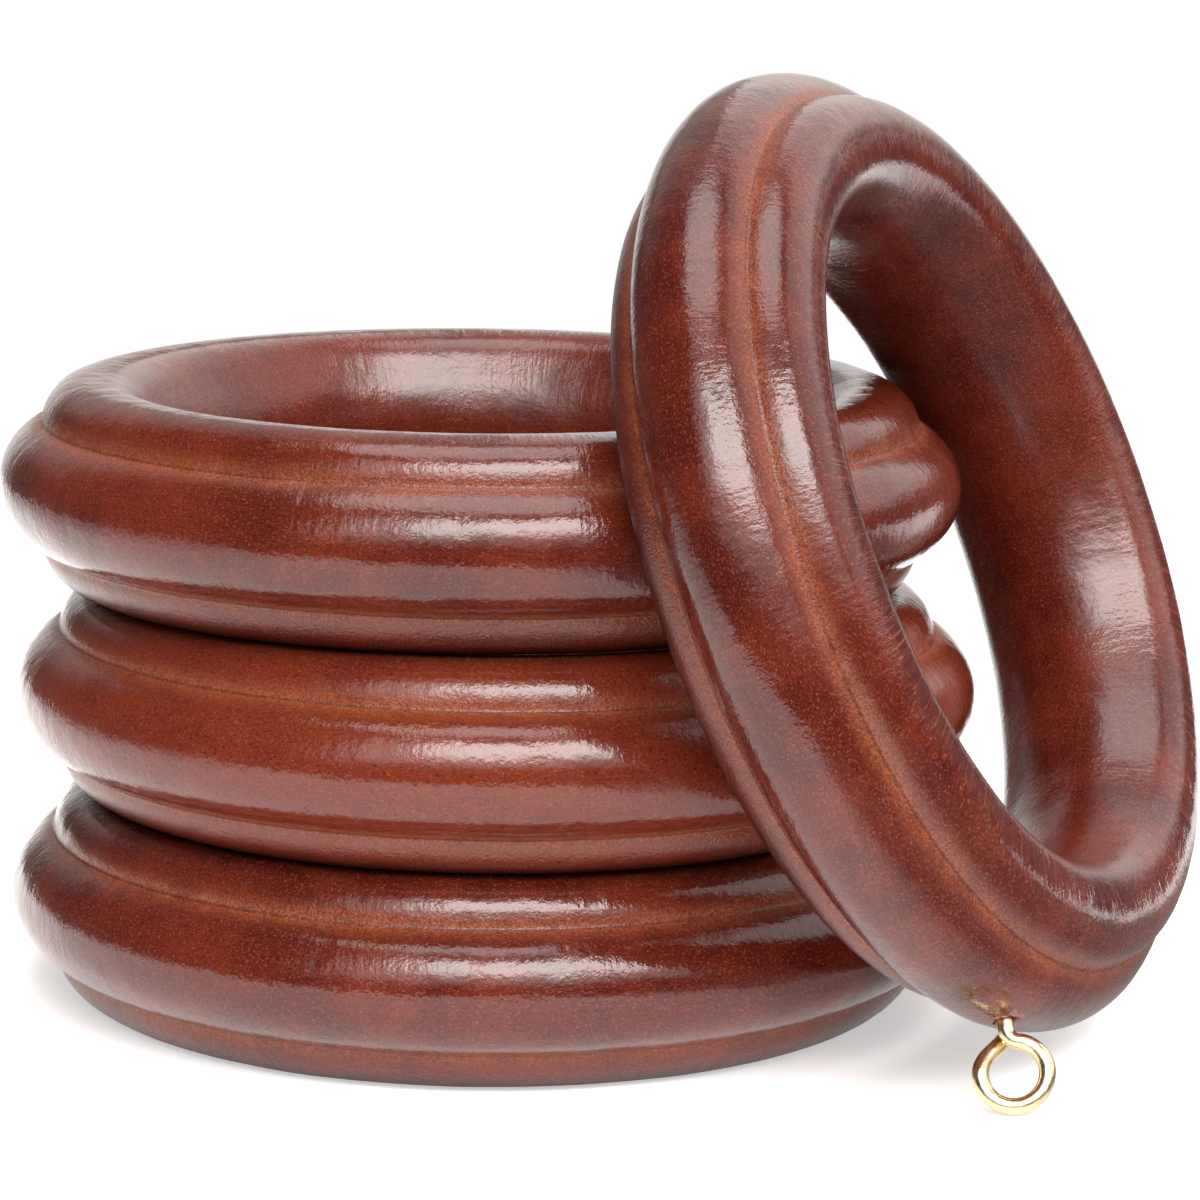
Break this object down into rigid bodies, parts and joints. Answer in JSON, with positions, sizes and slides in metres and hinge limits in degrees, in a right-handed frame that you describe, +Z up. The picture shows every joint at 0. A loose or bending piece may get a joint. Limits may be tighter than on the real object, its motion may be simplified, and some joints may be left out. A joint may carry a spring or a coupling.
{
  "type": "curtain pole ring set",
  "caption": "Turned wooden curtain pole rings with brass screw eyes: a stack lying flat and one ring leaning on it.",
  "frame": {"origin": "on the floor, at the axis of the bottom ring of the stack", "axes": "+Z up along the bottom ring's axis, +X towards the leaning ring, +Y away from the viewer, towards the screw eyes of the stacked rings"},
  "size_m": [0.1121, 0.1106, 0.0855],
  "materials": {
    "stained_wood": "gloss lacquer over a red-brown stain",
    "brass_wire": "bright drawn wire"
  },
  "bodies": {
    "bottom_ring": {"bottom_ring": "stained_wood"},
    "bottom_screw_eye": {"bottom_screw_eye": "brass_wire"},
    "middle_ring": {"middle_ring": "stained_wood"},
    "middle_screw_eye": {"middle_screw_eye": "brass_wire"},
    "top_ring": {"top_ring": "stained_wood"},
    "top_screw_eye": {"top_screw_eye": "brass_wire"},
    "leaning_ring": {"leaning_ring": "stained_wood"},
    "leaning_screw_eye": {"leaning_screw_eye": "brass_wire"}
  },
  "joints": [
    {"name": "middle_ring_lift_off", "type": "slide", "parent": "bottom_ring", "child": "middle_ring", "axis": [-0.8599, 0.3789, 0.342], "range_m": [0, 0.1]},
    {"name": "top_ring_lift_off", "type": "slide", "parent": "middle_ring", "child": "top_ring", "axis": [-0.8599, 0.3789, 0.342], "range_m": [0, 0.1]},
    {"name": "leaning_ring_tip", "type": "hinge", "parent": "bottom_ring", "child": "leaning_ring", "pos_m": [0.0458, -0.0439, 0], "axis": [0.4032, 0.9151, 0], "range_deg": [0, 45]},
    {"name": "bottom_eye_turn", "type": "hinge", "parent": "bottom_ring", "child": "bottom_screw_eye", "pos_m": [-0.00542, 0.04412, 0.0094], "axis": [-0.1219, 0.9925, 0], "range_deg": [-180, 180]},
    {"name": "middle_eye_turn", "type": "hinge", "parent": "middle_ring", "child": "middle_screw_eye", "pos_m": [0.00756, 0.0443, 0.0282], "axis": [0.1564, 0.9877, 0], "range_deg": [-180, 180]},
    {"name": "top_eye_turn", "type": "hinge", "parent": "top_ring", "child": "top_screw_eye", "pos_m": [-0.01184, 0.04499, 0.047], "axis": [-0.2419, 0.9703, 0], "range_deg": [-180, 180]},
    {"name": "leaning_eye_turn", "type": "hinge", "parent": "leaning_ring", "child": "leaning_screw_eye", "pos_m": [0.04473, -0.03982, 0.00722], "axis": [0.1424, -0.5402, -0.8294], "range_deg": [-180, 180]}
  ]
}
